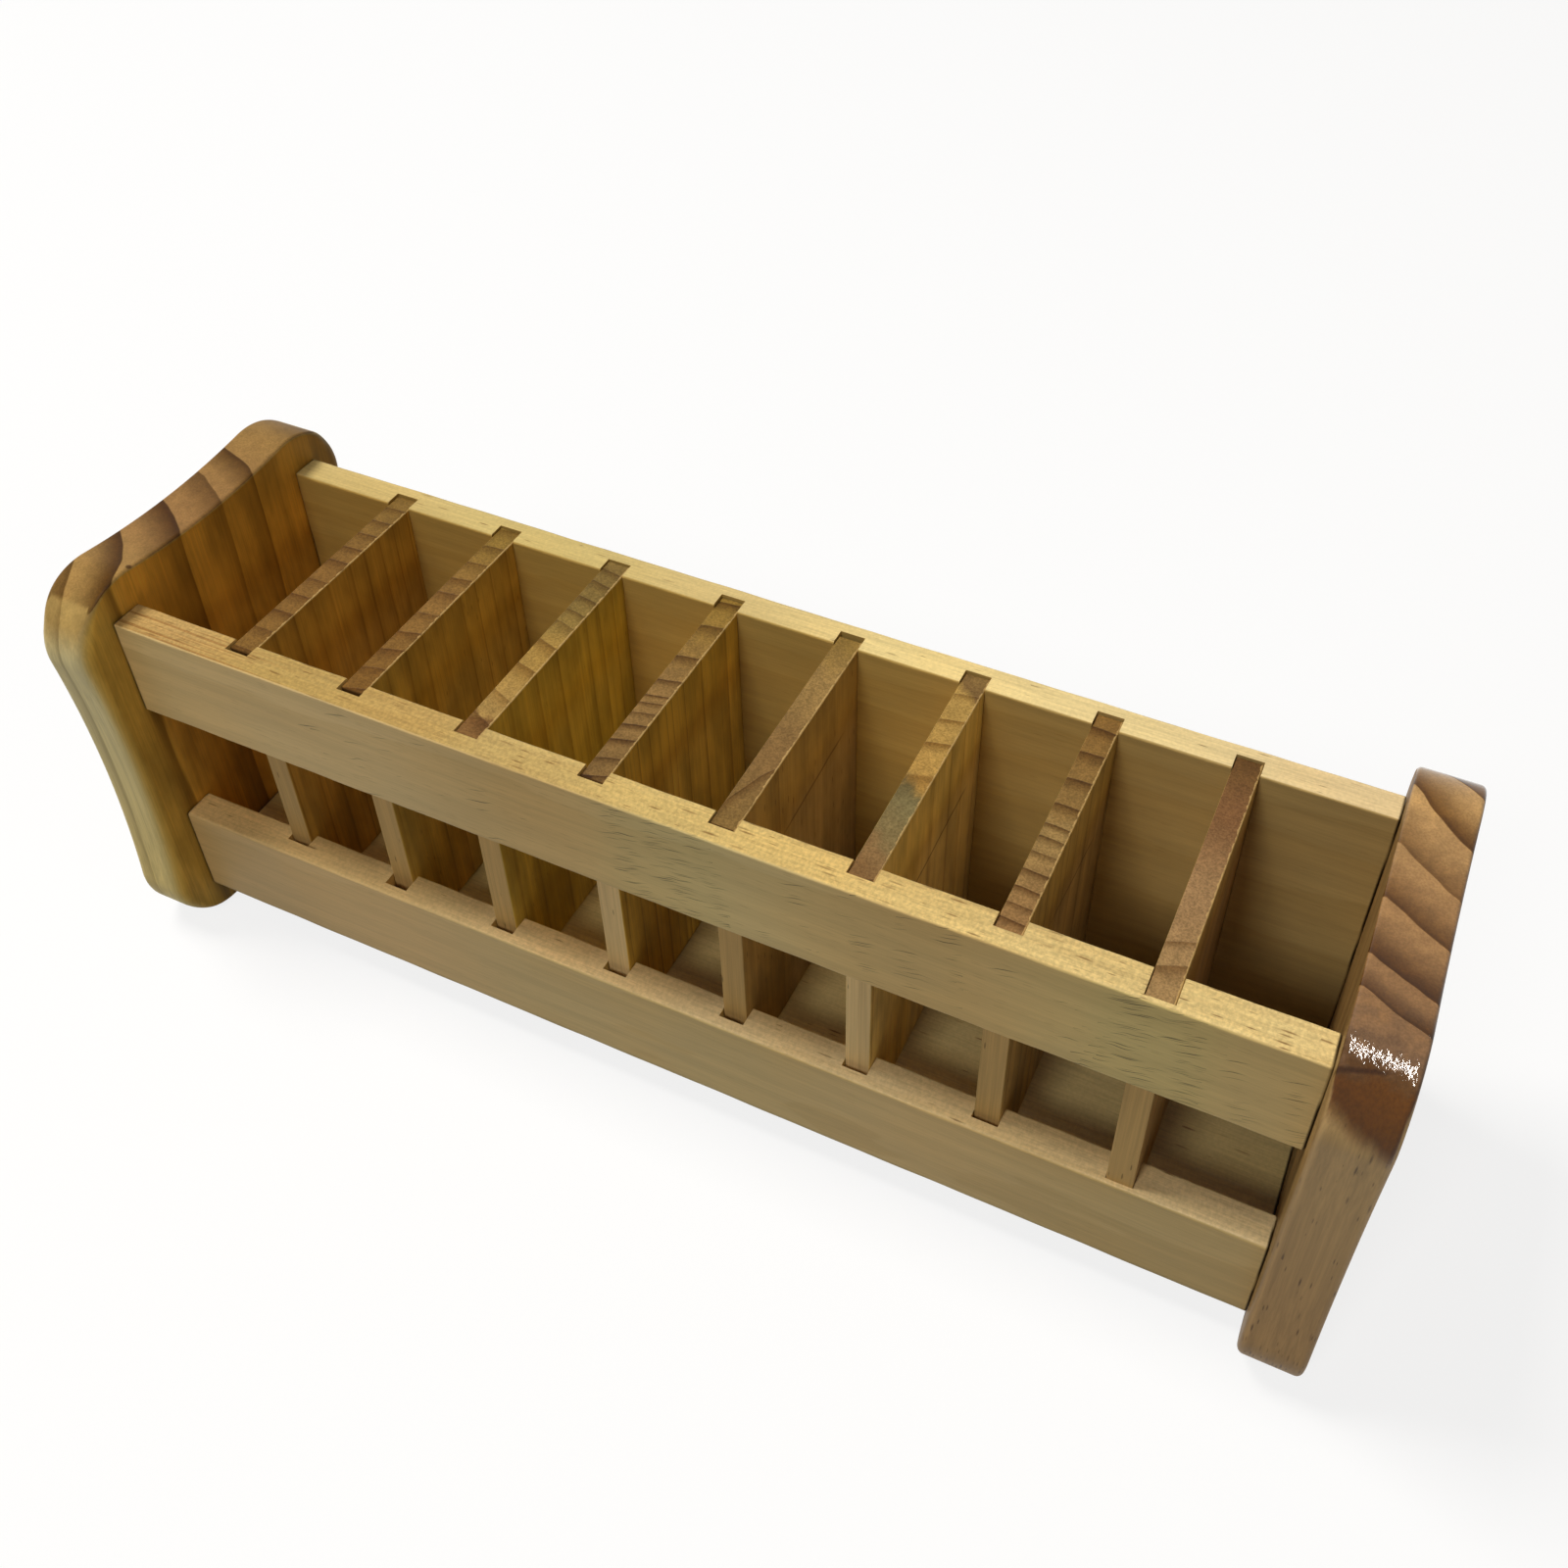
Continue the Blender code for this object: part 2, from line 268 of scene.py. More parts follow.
def fibre_group():
    """Wood fibres: noise drawn out along the grain, fine and broad, and rare short dark pores."""
    tree, given, made = new_group(
        "wood_fibres",
        {"Position": "Vector", "Fibre Scale": "Vector", "Pore Scale": "Vector", "Pore Share": "Float"},
        {"Fibre": "Float", "Streak": "Float", "Pore": "Float"},
    )
    fine = vectors(tree, "MULTIPLY", given["Position"], given["Fibre Scale"])
    tree.links.new(noise(tree, fine, 1.0, 3.0, 0.6), made["Fibre"])
    tree.links.new(noise(tree, fine, 0.16, 2.0), made["Streak"])
    cells = vectors(tree, "MULTIPLY", given["Position"], given["Pore Scale"])
    pores = add_node(tree, "TexVoronoi", {"Vector": cells, "Scale": 1.0})
    pick = add_node(tree, "SeparateColor", {"Color": pores.outputs["Color"]}).outputs[0]
    rare = maths(tree, "LESS_THAN", pick, given["Pore Share"])
    dash = ramp(tree, pores.outputs["Distance"], 0.14, 0.34, 1.0, 0.0)
    tree.links.new(times(tree, dash, rare), made["Pore"])
    return tree


def end_grain_group():
    """How far a surface faces along the grain: 0 on a face, 1 on cut ends, which drink in more varnish.

    Across draws the cut end's look some way over its arrises with the faces that look along Across.
    """
    tree, given, made = new_group(
        "end_grain",
        {"Normal": "Vector", "Grain": "Vector", "Across": "Vector", "From": "Float", "To": "Float"},
        {"End": "Float"},
    )
    facing = maths(tree, "ABSOLUTE", vectors(tree, "DOT_PRODUCT", given["Normal"], given["Grain"]))
    beside = maths(tree, "ABSOLUTE", vectors(tree, "DOT_PRODUCT", given["Normal"], given["Across"]))
    reach = maths(tree, "MULTIPLY_ADD", beside, facing, facing)
    tree.links.new(ramp(tree, reach, given["From"], given["To"]), made["End"])
    return tree


def dash_group():
    """Short dark dashes along the grain: one in each cell of a drawn-out pattern, where no two are the same.

    Along and Across count cells. Share is how many of the cells show their dash, and each dash fades with
    the distance from its middle, over a length of its own.
    """
    tree, given, made = new_group(
        "grain_dashes", {"Along": "Float", "Across": "Float", "Share": "Float"}, {"Dash": "Float"})
    place = add_node(tree, "CombineXYZ", {0: given["Along"], 1: given["Across"]}).outputs[0]
    cells = add_node(tree, "TexVoronoi", {"Vector": place, "Scale": 1.0}, voronoi_dimensions="2D")
    chance = add_node(tree, "SeparateColor", {"Color": cells.outputs["Color"]}).outputs
    size = maths(tree, "MULTIPLY_ADD", chance[1], 0.34, 0.12)
    faded = ramp(tree, cells.outputs["Distance"], times(tree, size, 0.2), size, 1.0, 0.0)
    shown = maths(tree, "LESS_THAN", chance[0], given["Share"])
    strength = maths(tree, "MULTIPLY_ADD", chance[2], 0.6, 0.4)
    tree.links.new(times(tree, faded, shown, strength), made["Dash"])
    return tree


pith_pattern = pith_distance_group()
ring_pattern = growth_ring_group()
fibre_pattern = fibre_group()
end_grain_pattern = end_grain_group()
dash_pattern = dash_group()


def place_group(tree, group, inputs):
    """A node group put into a material with its own values, and its outputs."""
    return add_node(tree, "Group", inputs, node_tree=group).outputs


def curve(tree, value, points):
    """A value read off a line through points, each (value, result), with both kept from 0 to 1."""
    node = add_node(tree, "FloatCurve", {"Value": value})
    line = node.mapping.curves[0]
    for place in points[1:-1]:
        line.points.new(*place)
    line.points[0].location = points[0]
    line.points[-1].location = points[-1]
    for point in line.points:
        point.handle_type = "VECTOR"
    node.mapping.update()
    return node.outputs[0]


def ring_count(tree, distance, lines):
    """Rings counted outwards from the pith, where lines are the distances at which one ring ends."""
    first, last = lines[0], lines[-1]
    steps = len(lines) - 1
    share = even(tree, distance, low=first, high=last)
    points = [((line - first) / (last - first), number / steps) for number, line in enumerate(lines)]
    return maths(tree, "MULTIPLY", curve(tree, share, points), steps)


def colour_run(tree, value, stops):
    """A colour that runs through stops, each (value from 0 to 1, colour on a screen)."""
    node = add_node(tree, "ValToRGB", {"Fac": value})
    node.color_ramp.interpolation = "EASE"
    elements = node.color_ramp.elements
    for place, colour in stops[1:-1]:
        elements.new(place).color = paint(*colour)
    for element, (place, colour) in ((elements[0], stops[0]), (elements[-1], stops[-1])):
        element.position = place
        element.color = paint(*colour)
    return node.outputs["Color"]


def shaded(tree, colour, shade):
    """A colour multiplied by a grey value."""
    grey = add_node(tree, "CombineColor", {0: shade, 1: shade, 2: shade}).outputs[0]
    return mix(tree, 1.0, colour, grey, "MULTIPLY")


satin = 0.5                    # the roughness of plain varnish


def varnished(name, roughness=satin, specular=0.2):
    """A new material: its node tree and its shader, a wood under clear satin varnish."""
    material = bpy.data.materials.new(name)
    material.use_nodes = True
    tree = material.node_tree
    shader = tree.nodes["Principled BSDF"]
    shader.inputs["Roughness"].default_value = roughness
    shader.inputs["Specular IOR Level"].default_value = specular
    return material, tree, shader


def thin_line(tree, across, along, line, strength):
    """A soft line under a millimetre wide, where across is line's level plus line's slope times along."""
    level = maths(tree, "MULTIPLY_ADD", along, line[1], line[0])
    off = maths(tree, "ABSOLUTE", maths(tree, "SUBTRACT", across, level))
    core, rim = 0.0001, 0.0009
    return ramp(tree, off, core, rim, strength, 0.0)


noise_swing = (0.3, 0.7)       # most of a noise lies between these
pocket_y = (-0.016, -0.004)    # the broad sides lie deep in the pockets behind this range,
pocket_z = (0.098, 0.114)      # and below this one
crown_y = (-0.035, 0.020)      # painted light makes a panel's inner face paler in front of this range, and above this one
crown_z = (0.122, 0.138)       # and above this one


def speckled(tree, colour, pattern, swing):
    """A colour that a noise makes darker and paler, by the share swing."""
    darkest = maths(tree, "SUBTRACT", 1.0, swing)
    palest = maths(tree, "ADD", 1.0, swing)
    return shaded(tree, colour, ramp(tree, pattern, *noise_swing, darkest, palest))


def wood_patterns(tree, pith, grain, wander, lines, late_share, fibre_scale, pore_scale, pore_share):
    """What a wood is drawn from: texture places, X Y Z of place and normal, rings about the pith, fibres."""
    where = add_node(tree, "TexCoord").outputs
    place = add_node(tree, "SeparateXYZ", {0: where["Object"]}).outputs
    normal = add_node(tree, "SeparateXYZ", {0: where["Normal"]}).outputs
    distance = place_group(tree, pith_pattern, {
        "Position": where["Object"], "Pith": pith, "Grain": grain, "Wander": wander})["Distance"]
    rings = place_group(tree, ring_pattern, {
        "Ring Count": ring_count(tree, distance, lines), "Late Share": late_share})
    fibres = place_group(tree, fibre_pattern, {
        "Position": where["Object"], "Fibre Scale": fibre_scale, "Pore Scale": pore_scale,
        "Pore Share": pore_share})
    return where, place, normal, rings, fibres


def upright_wood(name, pith, lines, depth, tones, face, edge, late_tint, late_share=0.6, wander=0.003,
                 face_rings=0.5, edge_rings=0.5, ring_line=0.45, edge_lines=1.0, end_range=(0.8, 0.97),
                 lean=(0.0, 0.0), inward=None, face_fade=(-0.050, -0.036), edge_fade=(0.02, 0.12),
                 rough=0.15, emboss=0.5, pits=0.0, smooth=0.0, end_gloss=None, specular=0.1, pores=0.04,
                 outer=None, crown=1.0, sunk=None, brow=None, nose_border=None, edge_dashes=None,
                 frayed_lit_rim=None, knot=None, nose_line=None, shadow_edge=None):
    """Pine with its grain upright, cut at its ends. Its colours are given as they look on a screen.

    pith is the X and Y of the middle of its tree, and lines are the distances from it at which a ring ends.
    late_tint is what the dark part of each ring multiplies the wood by: in full on the cut ends, and by the
    shares face_rings and edge_rings on the broad and on the narrow sides. ring_line is how strongly the last
    line of a ring shows, and edge_lines how much of that is left on the narrow sides.

    tones are the colours of the cut ends, as (share of depth in Y, colour) stops from front to back. They
    slant by the second value of lean about the X of its first. A side is a cut end where it faces along the
    grain by more than end_range, or lies on the nose above nose_border: a level in Z at X = 0, its slope
    along X, and how far fibres fray it. face holds the colours of the broad sides, in front of the Y range
    face_fade and behind it, and the front one is paler with painted light that falls in from the front. With
    inward these are only the sides that look that way along X, and outer is the colour of the opposite ones.
    edge holds the colours of the narrow sides, below and above the Z range edge_fade.

    crown is how much painted light makes a broad side paler near its top, sunk is a painted tint of the light
    deep in the pockets, and brow is the colour that narrow sides turn where they curve up to the cut end.
    rough is how strongly fibres show on cut ends and smooth how far varnish fills them, emboss is how far the
    rings stand up, pits how uneven the ends are and end_gloss their roughness. edge_dashes are the shares of
    dark dashes on the front edge at its foot and above it. frayed_lit_rim is the X at which a top's frayed
    rim starts, paler from frayed fibres and a painted highlight where light catches the sawn edge, and knot
    the place of a small dark knot. nose_line is the level and slope of a dark line over the nose, and
    shadow_edge those of a painted shadow edge, a thin dark line over a broad side.
    """
    material, tree, shader = varnished(name, specular=specular)
    grain = (0.0, 0.0, 1.0)
    where, place, normal, rings, fibres = wood_patterns(
        tree, (*pith, 0.0), grain, wander, lines, late_share, fibre_scale=(1700.0, 1700.0, 26.0),
        pore_scale=(1100.0, 1100.0, 170.0), pore_share=pores)
    mottle = noise(tree, vectors(tree, "MULTIPLY", where["Object"], (1.0, 1.0, 0.35)), 95.0, 3.0, 0.6)

    # Which sides are cut ends, and which are broad
    ends = place_group(tree, end_grain_pattern, {
        "Normal": where["Normal"], "Grain": grain, "Across": (0.6, 0.0, 0.0),
        "From": end_range[0], "To": end_range[1]})["End"]
    if nose_border:
        level, slope, fray = nose_border
        sloping = maths(tree, "MULTIPLY_ADD", place["X"], slope, place["Z"])
        streaked = maths(tree, "MULTIPLY_ADD", fibres["Streak"], fray, sloping)
        nose = ramp(tree, streaked, level - 0.004, level + 0.004)
        narrow = ramp(tree, maths(tree, "ABSOLUTE", normal["X"]), 0.45, 0.75, 1.0, 0.0)
        ends = maths(tree, "MAXIMUM", ends, times(tree, nose, narrow))
    facing = times(tree, normal["X"], inward) if inward else maths(tree, "ABSOLUTE", normal["X"])
    side = ramp(tree, facing, 0.3, 0.95)

    # Plain colours of the long sides and of the ends
    broad = mix(tree, ramp(tree, place["Y"], *face_fade), *(paint(*tone) for tone in face))
    # Painted light: deep in the pockets the broad sides take a tint that stands in for the light there
    if sunk:
        deep = times(tree, ramp(tree, place["Y"], *pocket_y), ramp(tree, place["Z"], *pocket_z, 1.0, 0.0))
        broad = tinted(tree, deep, broad, sunk)
    broad = shaded(tree, broad, ramp(tree, mottle, *noise_swing, 0.8, 1.2))
    # Painted light and shade: near its top a broad side turns paler in front and a little darker behind
    if crown != 1.0:
        painted_top_light = ramp(tree, place["Y"], *crown_y, crown, 0.95)
        broad = shaded(tree, broad, ramp(tree, place["Z"], *crown_z, 1.0, painted_top_light))
    rim = mix(tree, ramp(tree, place["Z"], *edge_fade), *(paint(*tone) for tone in edge))
    long_side = mix(tree, side, rim, broad)
    if outer:
        outward = ramp(tree, times(tree, normal["X"], -inward), 0.8, 0.98)
        weathered = shaded(tree, paint(*outer), ramp(tree, mottle, *noise_swing, 0.88, 1.12))
        long_side = mix(tree, outward, long_side, weathered)
    if brow:
        long_side = mix(tree, ramp(tree, normal["Z"], 0.0, 0.6), long_side, paint(*brow))
    aside = maths(tree, "SUBTRACT", place["X"], lean[0])
    slanted = maths(tree, "MULTIPLY_ADD", aside, lean[1], place["Y"])
    share = even(tree, slanted, low=depth[0], high=depth[1])
    drift = maths(tree, "MULTIPLY_ADD", maths(tree, "SUBTRACT", fibres["Streak"], 0.5), 0.12, share)
    colour = mix(tree, ends, long_side, colour_run(tree, drift, tones))

    # Rings, fibres and pores
    on_sides = even(tree, side, edge_rings, face_rings)
    late = times(tree, rings["Late Wood"], even(tree, ends, on_sides, 1.0))
    colour = tinted(tree, late, colour, late_tint)
    line_share = even(tree, maths(tree, "MAXIMUM", ends, side), edge_lines, 1.0)
    colour = tinted(tree, times(tree, rings["Ring Line"], line_share, ring_line), colour, late_tint)
    speck = maths(tree, "MULTIPLY_ADD", ends, rough, 0.10)
    colour = speckled(tree, colour, fibres["Fibre"], speck)
    colour = shaded(tree, colour, ramp(tree, fibres["Streak"], *noise_swing, 0.90, 1.09))
    pore_depth = even(tree, ends, 0.55, 0.1)
    colour = mix(tree, times(tree, fibres["Pore"], pore_depth), colour, paint(60, 36, 16))

    # Marks of single boards
    # A pale frayed rim along one side of a top, partly a painted highlight where light catches the sawn edge
    if frayed_lit_rim:
        frayed = noise(tree, vectors(tree, "MULTIPLY", where["Object"], (500.0, 650.0, 300.0)), 1.0, 2.0)
        reach = maths(tree, "MULTIPLY_ADD", frayed, 0.0012, place["X"])
        pale = times(tree, ramp(tree, reach, frayed_lit_rim, frayed_lit_rim + 0.0003), ramp(tree, normal["Z"], 0.15, 0.5), 0.75)
        colour = mix(tree, pale, colour, paint(196, 163, 104))
    if edge_dashes:
        dashes = place_group(tree, dash_pattern, {
            "Along": times(tree, place["Z"], 140.0), "Across": times(tree, place["X"], 1000.0),
            "Share": ramp(tree, place["Z"], 0.005, 0.04, *edge_dashes)})["Dash"]
        front = ramp(tree, normal["Y"], -0.8, -0.5, 0.8, 0.0)
        shown = times(tree, dashes, front, maths(tree, "SUBTRACT", 1.0, ends))
        colour = mix(tree, shown, colour, paint(66, 42, 24))
    if nose_line:
        waved = maths(tree, "MULTIPLY_ADD", mottle, 0.003, place["Y"])
        drawn = times(tree, thin_line(tree, waved, place["X"], nose_line, 0.8),
                      ramp(tree, place["Z"], 0.128, 0.132), ramp(tree, place["X"], 0.188, 0.194, 1.0, 0.0))
        colour = tinted(tree, drawn, colour, late_tint)
    # A painted shadow edge: a thin dark line along a broad side, where a neighbour's top casts its shadow
    if shadow_edge:
        waved = maths(tree, "MULTIPLY_ADD", mottle, 0.0015, place["Z"])
        drawn = times(tree, thin_line(tree, waved, place["Y"], shadow_edge, 0.6),
                      ramp(tree, normal["X"], 0.5, 0.9), ramp(tree, place["Y"], -0.016, -0.006),
                      ramp(tree, place["Y"], 0.022, 0.030, 1.0, 0.0))
        colour = mix(tree, drawn, colour, paint(66, 42, 18))
    if knot:
        away = vectors(tree, "LENGTH", vectors(tree, "SUBTRACT", where["Object"], knot))
        colour = mix(tree, ramp(tree, away, 0.0005, 0.0012, 0.85, 0.0), colour, paint(64, 36, 14))
    tree.links.new(colour, shader.inputs["Base Color"])

    # Varnish and relief
    if end_gloss:
        tree.links.new(even(tree, ends, satin, end_gloss), shader.inputs["Roughness"])
    relief = times(tree, late, emboss)
    raised = times(tree, speck, maths(tree, "SUBTRACT", 1.0, times(tree, ends, smooth)))
    height = maths(tree, "MULTIPLY_ADD", maths(tree, "SUBTRACT", fibres["Fibre"], 0.5), raised, relief)
    if pits:
        wrinkled = noise(tree, vectors(tree, "MULTIPLY", where["Object"], (832.0, 640.0, 640.0)), 1.0, 2.0)
        uneven = maths(tree, "SUBTRACT", wrinkled, 0.5)
        height = maths(tree, "MULTIPLY_ADD", uneven, times(tree, ends, pits), height)
    bump = add_node(tree, "Bump", {"Height": height, "Strength": 0.6, "Distance": 0.0004})
    tree.links.new(bump.outputs["Normal"], shader.inputs["Normal"])
    return material


panel_depth = (-0.0586, 0.0586)
panel_woods = {
    "left": upright_wood(
        "left_panel_pine", pith=(-0.226, -0.060), depth=panel_depth,
        lines=(0.008, 0.0220, 0.0363, 0.0499, 0.0654, 0.0800, 0.0925, 0.132, 0.146),
        tones=((0.0, (157, 130, 75)), (0.12, (155, 122, 70)), (0.45, (145, 109, 65)), (1.0, (148, 117, 66))),
        face=((250, 209, 106), (213, 164, 73)), edge=((236, 213, 141), (237, 221, 164)),
        outer=(216, 176, 104), late_tint=(0.25, 0.18, 0.08, 1.0), late_share=0.9, edge_rings=0.27,
        ring_line=0.35, end_range=(0.78, 0.84), inward=1, rough=0.04, pores=0.0, crown=1.35,
        sunk=(1.0, 1.08, 1.35, 1.0), brow=(175, 145, 86), knot=(-0.1808, -0.0332, 0.1439)),
    "right": upright_wood(
        "right_panel_pine", pith=(0.265, 0.115), depth=panel_depth,
        lines=(0.060, 0.075, 0.088, 0.101, 0.1143, 0.128, 0.1425, 0.158, 0.1675, 0.206, 0.220),
        tones=((0.0, (113, 69, 10)), (0.05, (106, 63, 7)), (0.08, (97, 64, 28)), (0.12, (117, 88, 62)),
               (0.16, (131, 98, 66)), (0.22, (143, 105, 65)), (0.5, (159, 120, 75)), (0.7, (170, 132, 83)),
               (0.8, (187, 147, 92)), (1.0, (174, 138, 86))),
        face=((146, 116, 70), (139, 107, 62)), edge=((168, 134, 88), (192, 159, 108)), outer=(196, 158, 104),
        late_tint=(0.33, 0.24, 0.09, 1.0), late_share=0.85, edge_rings=0.08, face_rings=0.3,
        end_range=(0.45, 0.7), inward=-1, nose_border=(0.233, 0.55, 0.004), rough=0.04, emboss=1.0, pits=0.26,
        smooth=0.9, end_gloss=0.05, specular=0.2, pores=0.08, edge_dashes=(0.7, 0.12),
        nose_line=(-0.0926, 0.24)),
}
for side in ("left", "right"):
    node = f"{side}_end_panel"
    panel = panel_skin(f"{side}_panel", *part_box(node), panel_side_round[side])
    panel.data.materials.append(panel_woods[side])
    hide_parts(node)
    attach(panel, "holder")

# Back board and front rails
# Planed strips of pale pine with the grain along them. Grooves for the dividers are cut down their inner
# faces, and the long edges are eased with sandpaper, so the round on them is never quite even.
board_edge_round = 0.0008
board_end_round = 0.0005
ease_swing = 0.3               # how far the sanded round grows and shrinks along a board,
ease_wave = 0.023              # and the shortest wave in which it does so
station_step = 0.002
edge_steps = 5


def wandering(places, step, seed):
    """A slow wave between -1 and 1 along a board: three sines whose lengths don't share a beat."""
    phase = np.random.default_rng(seed).uniform(0, 2 * np.pi, 3)
    lengths = step * np.array([1.0, 1.73, 4.1])
    waves = np.sin(2 * np.pi * places[..., None] / lengths + phase)
    return waves.mean(axis=-1)


def grooved_board(name, low, high, grooves, inner, seed):
    """A long board whose section is carried along X.

    The section is a rectangle with four quarter-round edges. Between the two walls of a groove its inner
    face is pushed back to the groove's floor. Two stations share each wall's X, so the wall is upright.
    grooves holds (left wall, right wall, floor) for each groove; inner is 1 where the inner face is at +Y.
    """
    grooves = np.array(grooves).reshape(-1, 3)
    walls = grooves[:, :2]
    plain = np.arange(low.x + station_step, high.x - station_step / 2, station_step)
    plain = plain[np.all((plain[:, None] < walls[:, 0]) | (plain[:, None] > walls[:, 1]), axis=1)]
    inside = walls.mean(axis=1)
    turn = np.linspace(0, np.pi / 2, edge_steps + 1)
    end_in = np.r_[board_end_round * (1 - np.cos(turn)), board_end_round + shade_support]
    stations = np.sort(np.r_[low.x + end_in, plain, inside, walls.ravel(), walls.ravel(), high.x - end_in])
    from_end = np.minimum(stations - low.x, high.x - stations)
    curl = np.clip(1 - from_end / board_end_round, 0, 1)
    shrink = board_end_round * (1 - np.sqrt(1 - curl ** 2))[:, None]
    floor = np.full(len(stations), np.nan)
    for left, right, groove_floor in grooves:
        held = np.flatnonzero((stations >= left) & (stations <= right))
        floor[held[1:-1]] = groove_floor
    ease = board_edge_round * (1 + ease_swing * wandering(stations, ease_wave, seed))
    outer_y, inner_y = (low.y, high.y) if inner > 0 else (high.y, low.y)
    outer_y, inner_y = outer_y + inner * shrink, inner_y - inner * shrink
    low_z, high_z = low.z + shrink, high.z - shrink
    rise, run = 1 - np.sin(turn), 1 - np.cos(turn)
    support = ease + shade_support
    # One quarter of the section, as distances from the outer or inner face and from the top or bottom
    depth = np.concatenate([support[:, None], ease[:, None] * rise, 0 * support[:, None]], axis=1)
    drop = np.concatenate([0 * support[:, None], ease[:, None] * run, support[:, None]], axis=1)
    seam = np.full((len(stations), 1), grooves[0, 2] if len(grooves) else (low.y + high.y) / 2)
    y = np.concatenate([
        outer_y + inner * depth, outer_y + inner * depth[:, ::-1], seam,
        inner_y - inner * depth, inner_y - inner * depth[:, ::-1], seam], axis=1)
    z = np.concatenate([
        high_z - drop, low_z + drop[:, ::-1], 0 * seam + low_z,
        low_z + drop, high_z - drop[:, ::-1], 0 * seam + high_z], axis=1)
    notched = np.isfinite(floor)[:, None]
    past = inner * (y - np.where(notched, floor[:, None], 0)) > 0
    y = np.where(notched & past, floor[:, None], y)
    rings = np.stack([np.broadcast_to(stations[:, None], y.shape), y, z], axis=-1)
    return closed_skin(name, rings)


def groove_walls(front, overcut):
    """The divider grooves' walls and floors, worked out from the dividers and a close sliding fit.

    overcut is how much deeper than that each groove was cut, from left to right, in millimetres.
    """
    side_clearance, end_clearance = 0.00015, 0.0006
    found = []
    for number, deeper in enumerate(overcut, start=1):
        low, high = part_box(f"divider_{number}")
        floor = low.y - end_clearance - deeper / 1000 if front else high.y + end_clearance
        found.append((low.x - side_clearance, high.x + side_clearance, floor))
    return found


board_half = 0.18                   # colours and flecks run from this far left to this far right
joint_shade_and_grime = (0.1790, 0.1796)      # painted shade, glue and dust darken the last of this range, at the joints


def along_board(stops):
    """Stops given by X, turned into shares of the board's length."""
    return [((x + board_half) / (2 * board_half), value) for x, value in stops]


